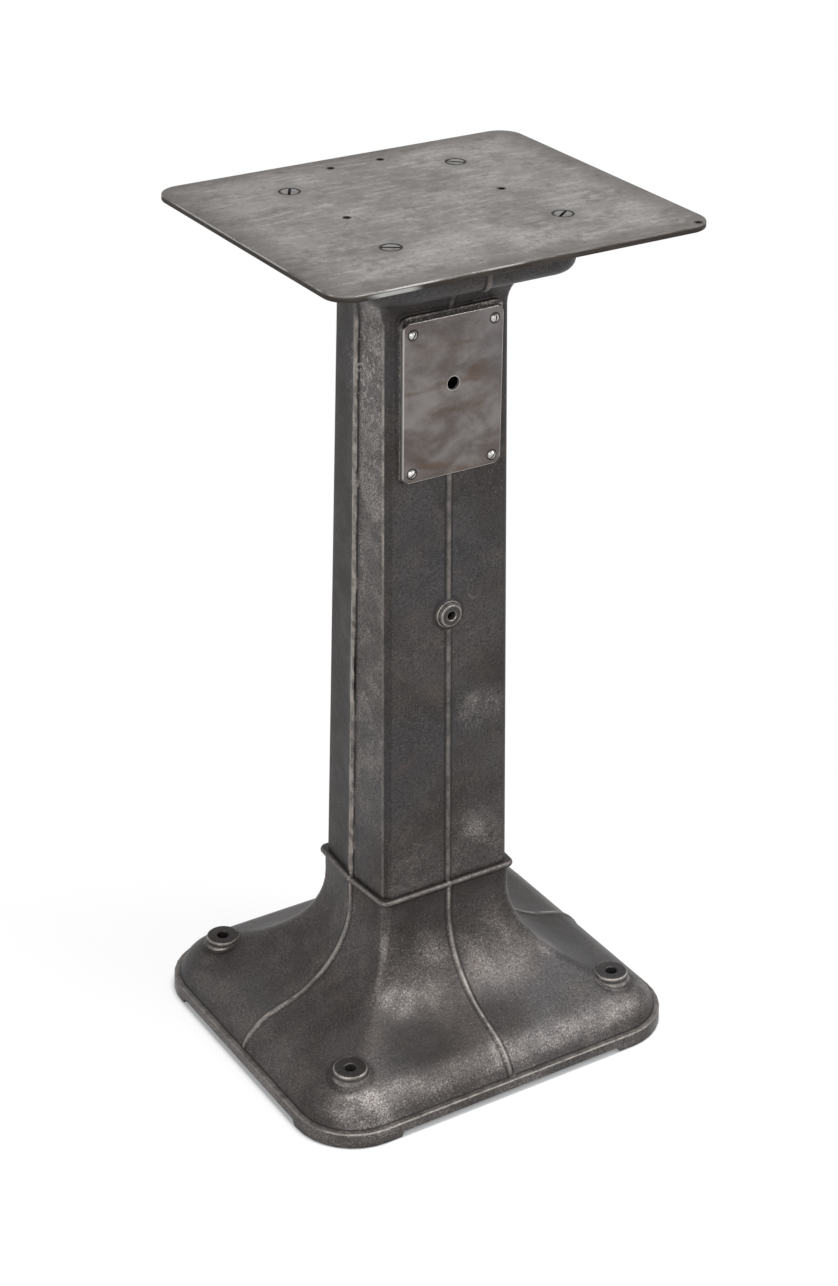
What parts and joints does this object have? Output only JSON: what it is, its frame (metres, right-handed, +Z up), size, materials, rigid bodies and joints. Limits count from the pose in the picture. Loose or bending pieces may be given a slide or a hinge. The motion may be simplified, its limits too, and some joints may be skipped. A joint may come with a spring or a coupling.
{
  "type": "machine pedestal",
  "caption": "Cast iron floor pedestal: hollow flared base, tapered column, steel work plate and a screwed access cover.",
  "frame": {"origin": "on the floor, below the middle of the base", "axes": "+Z up; +X along the long side of the work plate and the base; -Y towards the access cover"},
  "size_m": [0.391, 0.346, 0.8],
  "materials": {
    "base_iron": "burnished casting, fine sand grain, satin",
    "column_iron": "burnished casting, fine sand grain, satin",
    "plate_steel": "brushed, aged and waxed",
    "cover_steel": "polished, aged with cloudy brown tint",
    "plate_screw_steel": "brushed flush with the plate",
    "cover_screw_steel": "bright, worn",
    "bolt_steel": "plain, oiled"
  },
  "bodies": {
    "root": {"base_casting": "base_iron", "column_casting": "column_iron", "top_plate": "plate_steel", "cover_plate": "cover_steel", "plate_screw_1": "plate_screw_steel", "plate_screw_2": "plate_screw_steel", "plate_screw_3": "plate_screw_steel", "plate_screw_4": "plate_screw_steel", "cover_screw_1": "cover_screw_steel", "cover_screw_2": "cover_screw_steel", "cover_screw_3": "cover_screw_steel", "cover_screw_4": "cover_screw_steel", "joint_bolt_1": "bolt_steel", "joint_bolt_2": "bolt_steel", "joint_bolt_3": "bolt_steel", "joint_bolt_4": "bolt_steel", "joint_washer_1": "bolt_steel", "joint_washer_2": "bolt_steel", "joint_washer_3": "bolt_steel", "joint_washer_4": "bolt_steel"}
  },
  "joints": []
}
